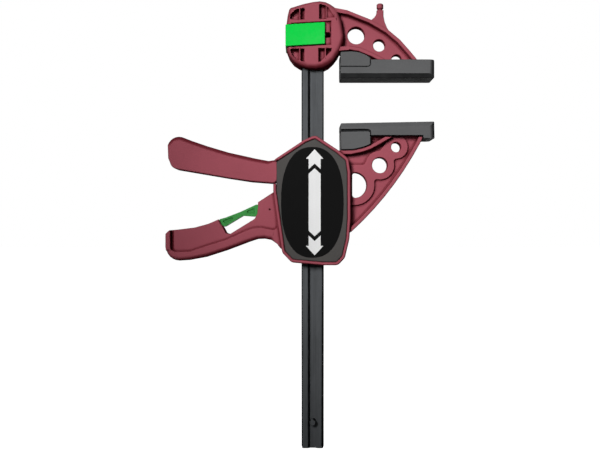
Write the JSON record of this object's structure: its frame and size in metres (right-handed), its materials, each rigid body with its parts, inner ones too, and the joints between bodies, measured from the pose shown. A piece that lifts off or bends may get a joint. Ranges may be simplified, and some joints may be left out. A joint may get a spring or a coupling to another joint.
{
  "type": "quick release bar clamp",
  "caption": "Quick release bar clamp: a squeeze lever walks the sliding jaw up a steel bar, a trigger releases its brake, and a side button unlocks the fixed head.",
  "frame": {"origin": "centre of the fixed jaw pad's clamping face", "axes": "+Z runs along the bar towards the fixed head, +X runs from the bar towards the jaw tips, -Y is the front with the nearer label"},
  "size_m": [0.2147, 0.029, 0.359],
  "materials": {
    "maroon_plastic": "glass-filled nylon moulding with a fine satin grain",
    "button_plastic": "bright green moulding, satin",
    "trigger_plastic": "green moulding, satin",
    "pad_rubber": "soft dark grey pad, matte",
    "cover_plastic": "dark grey moulding, matte",
    "label_film": "black printed film",
    "bar_steel": "blackened, rolled and drawn steel",
    "plate_steel": "hardened steel, oiled",
    "pin_steel": "turned steel",
    "spring_steel": "spring wire"
  },
  "bodies": {
    "bar_and_head": {"bar": "bar_steel", "end_stop_pin": "pin_steel", "fixed_jaw": "maroon_plastic", "fixed_jaw_pad": "pad_rubber", "head_lock_spring": "spring_steel"},
    "head_lock": {"head_lock_button": "button_plastic", "head_lock_pin": "pin_steel"},
    "carriage": {"carriage_body": "maroon_plastic", "front_cover": "cover_plastic", "rear_cover": "cover_plastic", "front_label": "label_film", "rear_label": "label_film", "moving_jaw_pad": "pad_rubber", "lever_pivot_pin": "pin_steel", "release_pivot_pin": "pin_steel", "drive_spring": "spring_steel", "brake_spring": "spring_steel"},
    "lever": {"drive_lever": "maroon_plastic"},
    "drive_plates": {"drive_plate_a": "plate_steel", "drive_plate_b": "plate_steel"},
    "brake": {"brake_plate": "plate_steel"},
    "trigger": {"release_trigger": "trigger_plastic"}
  },
  "joints": [
    {"name": "head_lock_push", "type": "slide", "parent": "bar_and_head", "child": "head_lock", "axis": [1, 0, 0], "range_m": [0, 0.0045], "stiffness_N_per_m": 300, "springref_m": -0.006, "deforming": ["head_lock_spring"]},
    {"name": "carriage_slide", "type": "slide", "parent": "bar_and_head", "child": "carriage", "axis": [0, 0, 1], "range_m": [-0.1235, 0.0342]},
    {"name": "lever_squeeze", "type": "hinge", "parent": "carriage", "child": "lever", "pos_m": [-0.072, 0, -0.07], "axis": [0, -1, 0], "range_deg": [0, 18], "stiffness_Nm_per_rad": 0.3, "springref_deg": -20.05, "deforming": ["drive_spring"]},
    {"name": "drive_plate_tilt", "type": "hinge", "parent": "carriage", "child": "drive_plates", "pos_m": [-0.0455, 0, -0.0783], "axis": [0, -1, 0], "range_deg": [0, 4]},
    {"name": "trigger_press", "type": "hinge", "parent": "carriage", "child": "trigger", "pos_m": [-0.094, 0, -0.1045], "axis": [0, -1, 0], "range_deg": [0, 8], "stiffness_Nm_per_rad": 0.12, "springref_deg": -17.19, "deforming": ["brake_spring"]},
    {"name": "brake_plate_tilt", "type": "hinge", "parent": "carriage", "child": "brake", "pos_m": [-0.0455, 0, -0.1075], "axis": [0, -1, 0], "range_deg": [-3.4, 0]}
  ],
  "couplings": [
    {"joint": "drive_plate_tilt", "follows": "lever_squeeze", "ratio": 0.21},
    {"joint": "brake_plate_tilt", "follows": "trigger_press", "ratio": -0.41}
  ]
}
